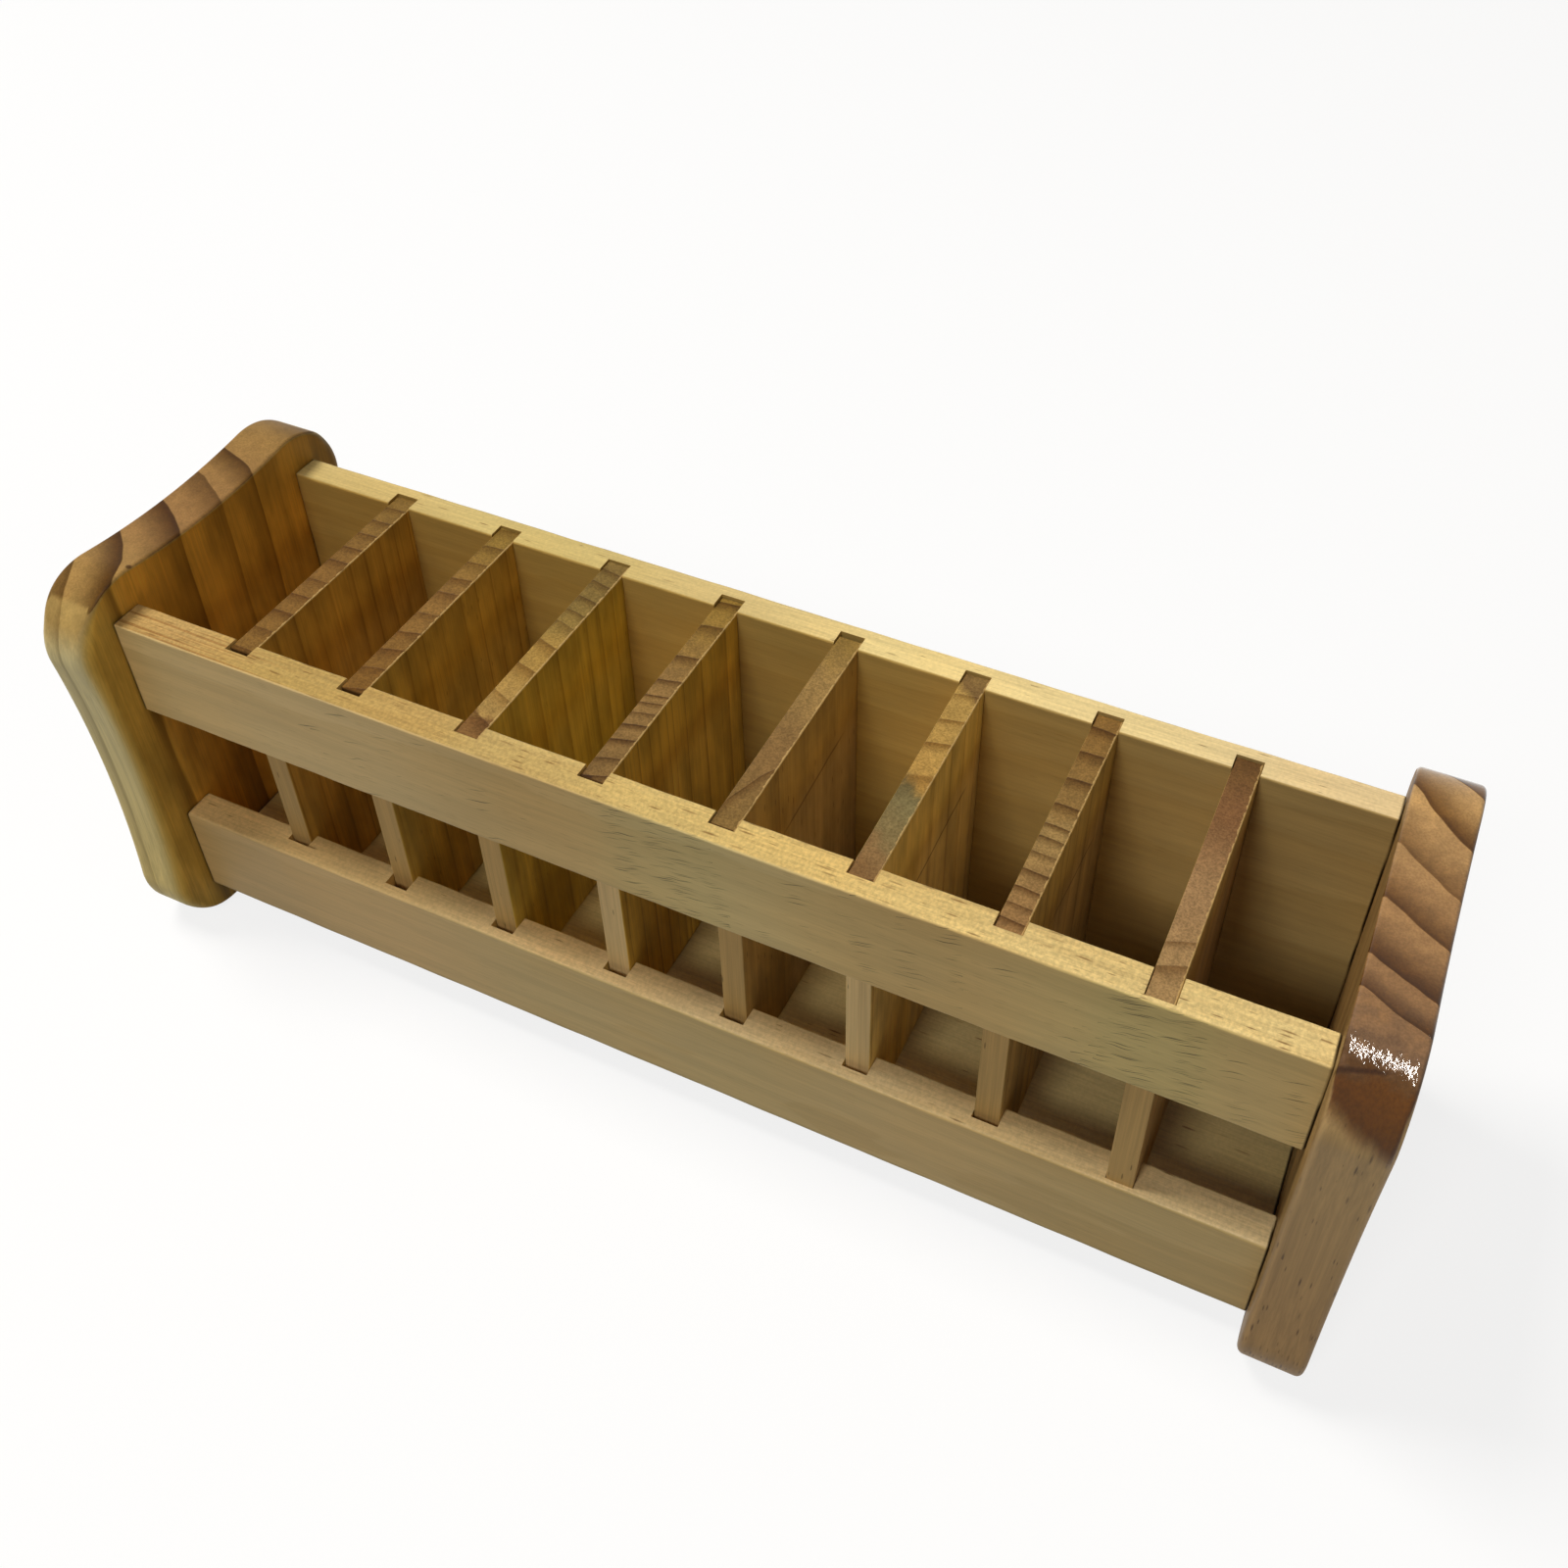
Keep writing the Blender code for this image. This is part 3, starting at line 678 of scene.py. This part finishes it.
def long_wood(name, side, top, pith, lines, pore_share=0.12, speckle=0.06, flecks=None, brown_end=0.0,
              low_band=0.0, rear=None, foot=None):
    """Pine with its grain along the board: soft rings, fine fibres and short pores.

    side and top are the colours of its upright sides and of its upper edge, as (X, colour) stops from left to
    right. pith is the Y and Z of the middle of its tree, and lines are the distances at which a ring ends.
    speckle is how grainy its upper edge is. flecks are (X, share) stops of the slanting dark flecks on its
    front. brown_end is how strongly brown streaks show at the left end of its upper edge, and low_band is how
    far painted shade darkens its sides low down. rear is a painted shade on the back of its upper side, and
    foot is the Z of a lower edge darkened with painted shade. Painted shade in the gaps, with glue and dust,
    darkens the joints at both ends.
    """
    material, tree, shader = varnished(name)
    grain = tuple(Vector((1.0, 0.012, 0.02)).normalized())
    where, place, normal, rings, fibres = wood_patterns(
        tree, (0.0, *pith), grain, wander=0.010, lines=lines, late_share=0.9,
        fibre_scale=(60.0, 1700.0, 1700.0), pore_scale=(150.0, 1300.0, 1700.0), pore_share=pore_share)
    upper = ramp(tree, normal["Z"], 0.6, 0.9)
    along = even(tree, place["X"], low=-board_half, high=board_half)

    # Plain colours, and what shades them
    colour = mix(tree, upper, *(colour_run(tree, along, along_board(stops)) for stops in (side, top)))
    if brown_end:
        drawn_out = noise(tree, vectors(tree, "MULTIPLY", where["Object"], (14.0, 800.0, 800.0)), 1.0, 2.0)
        far_left = ramp(tree, place["X"], -0.15, -0.11, brown_end, 0.1)
        streaky = times(tree, upper, far_left, ramp(tree, drawn_out, 0.5, 0.6))
        colour = mix(tree, streaky, colour, paint(138, 90, 40))
    # Painted shade darkens the sides low down, below a wavy line
    if low_band:
        wave = maths(tree, "MULTIPLY_ADD", noise(tree, where["Object"], 22.0, 1.0), 0.03, place["Z"])
        colour = tinted(tree, ramp(tree, wave, 0.064, 0.080, low_band, 0.0), colour, (0.62, 0.54, 0.50, 1.0))
    # Painted shade on the back of the upper side
    if rear:
        behind = times(tree, upper, ramp(tree, place["Y"], -0.024, -0.012))
        colour = tinted(tree, behind, colour, rear)
    # Painted shade darkens a lower edge
    if foot:
        colour = shaded(tree, colour, ramp(tree, place["Z"], foot, foot + 0.0022, 0.68, 1.0))

    # Rings and fibres, and a sawn upper edge
    colour = tinted(tree, times(tree, rings["Late Wood"], 0.35), colour, (0.80, 0.74, 0.62, 1.0))
    chatter = noise(tree, vectors(tree, "MULTIPLY", where["Object"], (1000.0, 850.0, 850.0)), 1.0, 3.0, 0.6)
    colour = shaded(tree, colour, ramp(tree, fibres["Streak"], *noise_swing, 0.94, 1.05))
    colour = speckled(tree, colour, fibres["Fibre"], maths(tree, "MULTIPLY_ADD", upper, 0.04, 0.05))
    colour = speckled(tree, colour, chatter, times(tree, upper, speckle))
    cooler = ramp(tree, noise(tree, where["Object"], 26.0, 1.0), 0.35, 0.65, 0.0, 0.5)
    colour = tinted(tree, cooler, colour, (0.93, 0.98, 1.06, 1.0))

    # Flecks, pores and joints
    if flecks:
        slant = (0.0, math.radians(13), 0.0)
        turned = add_node(tree, "Mapping", {"Vector": where["Object"], "Rotation": slant}).outputs[0]
        turned = add_node(tree, "SeparateXYZ", {0: turned}).outputs
        spread = curve(tree, along, along_board(flecks))
        bent = maths(tree, "MULTIPLY_ADD", noise(tree, where["Object"], 140.0, 1.0), 0.002, turned["Z"])
        slanting = place_group(tree, dash_pattern, {
            "Along": times(tree, turned["X"], 72.0), "Across": times(tree, bent, 1800.0),
            "Share": spread})["Dash"]
        front = ramp(tree, normal["Y"], -0.9, -0.6, 1.0, 0.0)
        colour = tinted(tree, times(tree, front, spread, 0.5), colour, (0.86, 0.94, 0.88, 1.0))
        colour = mix(tree, times(tree, slanting, front), colour, paint(76, 68, 40))
    marks = place_group(tree, dash_pattern, {
        "Along": times(tree, place["X"], 120.0), "Across": times(tree, place["Y"], 900.0),
        "Share": pore_share})["Dash"]
    colour = mix(tree, times(tree, marks, upper, 0.8), colour, paint(112, 74, 32))
    colour = mix(tree, times(tree, fibres["Pore"], 0.2), colour, paint(118, 78, 34))
    # Painted shade of the gaps at the joints, with glue and dust, darkens both ends of the board
    end = ramp(tree, maths(tree, "ABSOLUTE", place["X"]), *joint_shade_and_grime)
    patchy = ramp(tree, noise(tree, where["Object"], 45.0, 1.0), 0.35, 0.5, 0.3, 0.95)
    colour = mix(tree, times(tree, end, patchy), colour, paint(34, 20, 8))
    tree.links.new(colour, shader.inputs["Base Color"])
    bump = add_node(tree, "Bump", {"Height": fibres["Fibre"], "Strength": 0.2, "Distance": 0.0002})
    tree.links.new(bump.outputs["Normal"], shader.inputs["Normal"])
    return material


rail_flecks = (
    (-0.18, 0.0), (-0.12, 0.0), (-0.105, 0.06), (-0.08, 0.03), (-0.02, 0.04), (-0.008, 0.6), (0.018, 0.7),
    (0.028, 0.1), (0.05, 0.06), (0.06, 0.2), (0.088, 0.28), (0.095, 0.06), (0.12, 0.08), (0.128, 0.7),
    (0.15, 0.7), (0.158, 0.15), (0.172, 0.22), (0.18, 0.15))
ring_run = (0.0, 0.009, 0.021, 0.030, 0.044, 0.053, 0.067, 0.075, 0.089, 0.103, 0.112, 0.127, 0.140, 0.155)
long_boards = (
    ("back_board", "back_board_skin", -1, "back_pine", dict(
        side=((-0.165, (182, 148, 78)), (0.0, (191, 158, 87)), (0.165, (193, 163, 103))),
        top=((-0.15, (201, 176, 114)), (-0.08, (203, 180, 115)), (-0.02, (211, 185, 124)),
             (0.04, (231, 206, 141)), (0.1, (231, 206, 146)), (0.165, (226, 199, 147))),
        pith=(0.10, 0.03), lines=ring_run, pore_share=0.05, low_band=0.35)),
    ("front_bottom_rail", "bottom_rail", 1, "rail_pine", dict(
        side=((-0.16, (212, 178, 119)), (-0.1, (219, 186, 127)), (-0.04, (214, 186, 126)),
              (0.02, (213, 185, 124)), (0.08, (218, 187, 127)), (0.14, (212, 183, 122))),
        top=((-0.165, (220, 187, 128)), (-0.12, (208, 177, 121)), (-0.04, (221, 190, 136)),
             (0.04, (215, 189, 140)), (0.12, (223, 195, 141)), (0.165, (234, 206, 152))),
        pith=(-0.09, 0.02), lines=ring_run, pore_share=0.05, speckle=0.1, foot=0.0134)),
    ("front_top_rail", "top_rail", 1, "rail_pine", dict(
        side=((-0.16, (228, 196, 133)), (-0.1, (226, 197, 139)), (-0.04, (215, 182, 120)),
              (0.02, (221, 195, 134)), (0.08, (215, 182, 120)), (0.14, (222, 196, 131)),
              (0.17, (218, 190, 129))),
        top=((-0.165, (184, 149, 90)), (-0.12, (177, 148, 86)), (-0.08, (182, 150, 88)),
             (-0.04, (192, 164, 102)), (0.0, (208, 179, 112)), (0.04, (216, 184, 114)),
             (0.08, (213, 184, 119)), (0.12, (217, 188, 124)), (0.165, (226, 198, 133))),
        pith=(-0.08, 0.10), lines=ring_run, pore_share=0.3, speckle=0.15, flecks=rail_flecks,
        brown_end=0.6)),
)
no_overcut = (0.0,) * 8
lower_overcut = (0.3, 2.0, 2.2, 1.6, 1.8, 2.0, 1.8, 0.0)     # dark notches show in front of the posts
joint_gap = Vector((0.00018, 0, 0))     # the solids stop short of the panels by a little more than the wood
for seed, (node, name, inner, slot, look) in enumerate(long_boards):
    low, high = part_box(node)
    overcut = lower_overcut if node == "front_bottom_rail" else no_overcut
    walls = groove_walls(inner > 0, overcut)
    strip = grooved_board(name, low - joint_gap, high + joint_gap, walls, inner, seed)
    strip.data.materials.append(long_wood(f"{name}_pine", **look))
    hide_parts(node)
    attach(strip, "holder")

# Floor board
# A plain planed board between the bottom rail and the back board, flush with their lower edges.
# It carries the pens' weight and is doweled to the end panels like the rails.
low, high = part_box("floor_board")
floor_gap = Vector((0.00027, 0, 0))     # the solid stops short of the panels, and the wood meets them
floor_seed = 3
# The pale tones are painted light, which lifts the front that the bottom rail shades, and rear paints shade
# on the back
floor_tones = ((-0.16, (250, 224, 162)), (0.16, (252, 228, 170)))
floor_board = grooved_board("floor_board_skin", low - floor_gap, high + floor_gap, (), 1, floor_seed)
floor_board.data.materials.append(long_wood(
    "floor_board_pine", floor_tones, floor_tones, (0.01, 0.09), ring_run, pore_share=0.03,
    rear=(0.62, 0.60, 0.50, 1.0)))
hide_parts("floor_board")
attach(floor_board, "holder")

# Dividers
# Eight thin boards with upright grain, sawn from different planks and dropped into the grooves from above.
# Their tops are rough-sawn end grain. None is cut to quite the same length, so the slots show at some ends.
divider_edge_round = 0.0004


def divider_skin(name, low, high):
    """A thin upright board: a rounded rectangle carried up Z, drawn in at both ends by the eased edge.

    A corner is a quarter circle about a point that is one radius in from both sides. Where the outline is
    drawn in by more than the radius, the quarter circle has shrunk to a point.
    """
    radius = divider_edge_round
    size = np.array([high.x - low.x, high.y - low.y]) / 2
    middle = np.array([low.x + high.x, low.y + high.y]) / 2
    inset, height = eased_across(high.z - low.z, radius)
    corner_in = np.maximum(inset, radius)[..., None]
    bend = np.maximum(radius - inset, 0)[..., None]
    turn = np.linspace(0, np.pi / 2, edge_steps + 1)
    sides = []
    for quarter, sign in enumerate(corner_signs):
        swing = turn + quarter * np.pi / 2
        arrow = np.stack([np.cos(swing), np.sin(swing)], -1)
        lead_in = np.array([arrow[0, 1], -arrow[0, 0]]) * shade_support
        lead_out = np.array([-arrow[-1, 1], arrow[-1, 0]]) * shade_support
        arc = np.array(sign) * (size - corner_in) + bend * arrow
        sides.append(np.concatenate([arc[:, :1] + lead_in, arc, arc[:, -1:] + lead_out], axis=1))
    flat = np.concatenate(sides, axis=1) + middle
    rings = np.empty((*flat.shape[:2], 3))
    rings[..., :2] = flat
    rings[..., 2] = low.z + height
    return closed_skin(name, rings)


divider_depth = (-0.040, 0.042)         # their front and back ends, about which their looks are given
divider_tip = (0.1265, 0.1292)          # painted shade and dust darken their narrow edges in this Z range


def divider_wood(number, low, high, pith, lines, tones, slope=0.0, sunk=(1.0, 1.08, 1.6, 1.0), **look):
    """One divider's pine: pith, lines and tones are placed in millimetres from the middle of its front end.

    slope is how far its tones slant across it, and sunk is its painted tint of the light deep in the
    pockets.
    """
    front, back = divider_depth
    middle = (low.x + high.x) / 2
    centre = (middle + pith[0] / 1000, front + pith[1] / 1000)
    reach = [math.hypot(pith[0], line - pith[1]) / 1000 for line in lines]
    length = (back - front) * 1000
    stops = [(place / length, colour) for place, colour in tones]
    return upright_wood(
        f"divider_{number}_pine", centre, reach, divider_depth, stops, wander=0.002, face_rings=0.28,
        edge_rings=0.08, edge_lines=0.2, lean=(middle, slope), face_fade=(front, -0.012),
        edge_fade=divider_tip, sunk=sunk, frayed_lit_rim=high.x, **look)


# The second colour of each edge pair is painted shade and dust on the edges' tops, in the slots
plain_edge = ((199, 164, 104), (92, 64, 32))
pale_edge = ((232, 201, 143), (92, 64, 32))
soft_late = (0.62, 0.55, 0.48, 1.0)
strong_late = (0.45, 0.38, 0.32, 1.0)
divider_cuts = (
    # front end, back end and top, each this far in from the node's, in millimetres
    (1.1, -0.4, 0.3), (1.2, -0.4, 0.2), (-0.3, -0.4, 0.1), (0.6, -0.4, 0.5),
    (0.2, 0.8, 0.2), (-0.5, -0.4, 0.3), (-0.5, -0.4, 0.4), (-0.5, -0.4, 0.1),
)
divider_looks = (
    dict(pith=(2, -60), lines=(-10, 3, 12.5, 21, 29, 37, 47, 54, 62, 69, 76, 84),
         tones=((0, (120, 88, 42)), (40, (120, 87, 43)), (82, (122, 94, 45))),
         face=((198, 159, 81), (188, 149, 70)), late_tint=soft_late, edge=plain_edge),
    dict(pith=(14, -40), lines=(-8, 3, 12.5, 21, 29, 38, 49, 56, 64, 73, 82, 91),
         tones=((0, (118, 84, 38)), (45, (128, 95, 49)), (82, (133, 106, 48))),
         face=((202, 170, 92), (203, 161, 79)), late_tint=soft_late, edge=plain_edge, late_share=0.7),
    dict(pith=(-24, -45), lines=(-6, 8.5, 18, 31, 42, 51, 57, 64, 72, 78, 85, 92),
         tones=((0, (120, 87, 49)), (7, (122, 88, 49)), (10, (159, 128, 73)), (38, (163, 130, 67)),
                (50, (137, 112, 58)), (60, (121, 99, 52)), (82, (119, 96, 51))),
         face=((205, 178, 89), (195, 167, 77)), late_tint=soft_late, edge=plain_edge),
    dict(pith=(22, -60), lines=(-4, 3, 10, 17.5, 24, 29, 33.5, 36.5, 43.5, 54.5, 69.5, 81, 90),
         tones=((0, (85, 60, 40)), (3, (123, 95, 55)), (36, (133, 103, 60)), (82, (137, 108, 49))),
         face=((226, 187, 90), (215, 176, 78)),
         late_tint=strong_late, edge=pale_edge, late_share=0.55, sunk=(1.18, 1.35, 1.9, 1.0)),
    dict(pith=(54, -7), lines=(-6, 19, 100),
         tones=((0, (123, 96, 53)), (30, (124, 95, 56)), (60, (145, 116, 68)), (82, (141, 114, 58))),
         face=((174, 143, 91), (165, 134, 79)),
         late_tint=soft_late, edge=plain_edge, shadow_edge=(0.1040, 0.10)),
    dict(pith=(24, -40), lines=(-12, 0, 40, 53, 62.5, 73.5, 84, 95),
         tones=((0, (126, 94, 57)), (9, (128, 99, 62)), (18, (120, 103, 66)), (31, (116, 104, 68)),
                (38, (170, 134, 71)), (72, (166, 134, 73)), (76, (118, 91, 53)), (82, (121, 95, 54))),
         face=((243, 212, 136), (231, 198, 118)), slope=0.9,
         late_tint=soft_late, edge=pale_edge, late_share=0.35, shadow_edge=(0.0999, 0.054)),
    dict(pith=(-4, -70), lines=(-1, 4.5, 9.5, 15, 21, 27.5, 33, 37.5, 45.5, 56, 66.5, 77, 88),
         tones=((0, (141, 107, 66)), (36, (146, 118, 71)), (44, (131, 102, 57)), (82, (129, 96, 49))),
         face=((189, 160, 100), (180, 150, 86)),
         late_tint=strong_late, edge=plain_edge, late_share=0.6, shadow_edge=(0.1031, -0.138)),
    dict(pith=(24, -60), lines=(-10, 7.5, 15, 95, 130),
         tones=((0, (151, 121, 79)), (30, (150, 118, 80)), (60, (119, 84, 52)), (82, (111, 81, 45))),
         face=((191, 158, 102), (182, 148, 88)),
         late_tint=soft_late, edge=plain_edge, late_share=0.4),
)
for number, (cuts, look) in enumerate(zip(divider_cuts, divider_looks), start=1):
    node = f"divider_{number}"
    low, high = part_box(node)
    front_cut, back_cut, top_cut = (cut / 1000 for cut in cuts)
    low = low + Vector((0, front_cut, 0))
    high = high - Vector((0, back_cut, top_cut))
    divider = divider_skin(f"{node}_skin", low, high)
    divider.data.materials.append(divider_wood(number, low, high, **look))
    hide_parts(node)
    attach(divider, node)

# Dowels
# Short turned beech pins, glued into the ends of the long boards and into the end panels, out of sight.
# They are left bare, with the grain along them.
dowel_wood, dowel_tree, dowel_shader = varnished("dowel_beech", roughness=0.6)
dowel_place = add_node(dowel_tree, "TexCoord").outputs["Object"]
dowel_fibres = place_group(dowel_tree, fibre_pattern, {
    "Position": dowel_place, "Fibre Scale": (60.0, 2500.0, 2500.0),
    "Pore Scale": (400.0, 2200.0, 2200.0), "Pore Share": 0.2})
dowel_colour = mix(dowel_tree, dowel_fibres["Fibre"], (0.62, 0.46, 0.28, 1.0), (0.48, 0.33, 0.18, 1.0))
dowel_tree.links.new(dowel_colour, dowel_shader.inputs["Base Color"])
for name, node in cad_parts.items():
    if name.startswith("dowel_"):
        node.data.materials.clear()
        node.data.materials.append(dowel_wood)

# Floor, light and camera
# A plain white floor in a pale room. A lamp overhead to the left lights the holder, with a weaker one in
# front and a warm one at the right. A strip that only varnish mirrors puts the glint on the right panel.
floor_half = 4.0
floor_mesh = bpy.data.meshes.new("studio_floor")
corners = np.array([(-1, -1, 0), (1, -1, 0), (1, 1, 0), (-1, 1, 0)]) * floor_half
floor_mesh.from_pydata(corners, [], [(0, 1, 2, 3)])
studio_floor = bpy.data.objects.new("studio_floor", floor_mesh)
bpy.context.scene.collection.objects.link(studio_floor)


def plain_grey(level):
    """A grey of one level, as a linear colour."""
    return (level, level, level, 1.0)


def seen_white(tree, lit, white):
    """One shader for the light that falls on the holder, and another where the surface itself is seen."""
    path = add_node(tree, "LightPath").outputs
    mirrored = maths(tree, "MAXIMUM", path["Is Glossy Ray"], path["Is Transmission Ray"])
    seen = maths(tree, "MAXIMUM", path["Is Camera Ray"], mirrored)
    return add_node(tree, "MixShader", {0: seen, 1: lit, 2: white}).outputs[0]


glow_share = 0.82              # how much of the floor's white shines by itself, which keeps its shadow faint
floor_paint = bpy.data.materials.new("studio_floor_paint")
floor_paint.use_nodes = True
floor_tree = floor_paint.node_tree
floor_tree.nodes.clear()
matt = add_node(floor_tree, "BsdfDiffuse", {"Color": plain_grey(0.20)}).outputs[0]
white = add_node(floor_tree, "BsdfDiffuse", {"Color": plain_grey(0.9)}).outputs[0]
glow = add_node(floor_tree, "Emission", {"Color": plain_grey(1.0), "Strength": 1.0}).outputs[0]
bright = add_node(floor_tree, "MixShader", {0: glow_share, 1: white, 2: glow}).outputs[0]
add_node(floor_tree, "OutputMaterial", {"Surface": seen_white(floor_tree, matt, bright)})
floor_mesh.materials.append(floor_paint)

room = bpy.data.worlds.new("studio_room")
room.use_nodes = True
bpy.context.scene.world = room
room_tree = room.node_tree
room_tree.nodes.clear()
fill = add_node(room_tree, "Background", {"Color": (1.0, 0.98, 0.95, 1.0), "Strength": 0.05}).outputs[0]
white = add_node(room_tree, "Background", {"Color": plain_grey(1.0), "Strength": 1.0}).outputs[0]
add_node(room_tree, "OutputWorld", {"Surface": seen_white(room_tree, fill, white)})

lamp_aim = Vector((0, 0, 0.1))


def soft_lamp(name, place, size, power, mirrored, tint=(1.0, 0.97, 0.92), turn=0.0):
    """A rectangular lamp that faces the holder, turned about its aim by an angle in degrees.

    A mirrored one only shows in varnish, and the others never do.
    """
    lamp = bpy.data.lights.new(name, "AREA")
    lamp.shape = "RECTANGLE"
    lamp.size, lamp.size_y = size
    lamp.energy = power
    lamp.color = tint
    stand = bpy.data.objects.new(name, lamp)
    stand.location = place
    aim = (lamp_aim - Vector(place)).to_track_quat("-Z", "Y")
    stand.rotation_euler = (aim @ Quaternion((0, 0, 1), math.radians(turn))).to_euler()
    stand.visible_glossy = mirrored
    stand.visible_diffuse = not mirrored
    bpy.context.scene.collection.objects.link(stand)


soft_lamp("ceiling_lamp", (-1.45, -0.03, 3.05), (1.0, 1.0), 98.0, False)
soft_lamp("front_lamp", (-0.22, -1.77, 1.87), (0.5, 0.5), 17.0, False)
soft_lamp("side_lamp", (2.6, -0.4, 1.55), (0.5, 0.5), 6.5, False, (1.0, 0.82, 0.42))
soft_lamp("mirrored_strip", (0.29, -0.39, 1.65), (1.0, 0.04), 17.0, True, turn=77.0)

photo_size = 1600                       # the photograph's frame, in pixels
photo_focal = 1655.6
photo_centre = (873.2, 637.8)           # where the lens axis meets the frame
camera_place = Vector((0.1652, -0.2821, 0.4499))
camera_aim = Vector((-0.00966, 0.11028, 0.07))
camera_roll = math.radians(0.697)
view = bpy.data.cameras.new("view")
view.sensor_width = 36.0
view.lens = view.sensor_width * photo_focal / photo_size
view.shift_x = 0.5 - photo_centre[0] / photo_size
view.shift_y = photo_centre[1] / photo_size - 0.5
view.clip_start = 0.01
camera = bpy.data.objects.new("view", view)
turn = (camera_aim - camera_place).to_track_quat("-Z", "Y").to_matrix() @ Matrix.Rotation(camera_roll, 3, "Z")
camera.matrix_world = Matrix.Translation(camera_place) @ turn.to_4x4()
bpy.context.scene.collection.objects.link(camera)
bpy.context.scene.camera = camera
bpy.context.scene.view_settings.view_transform = "Standard"
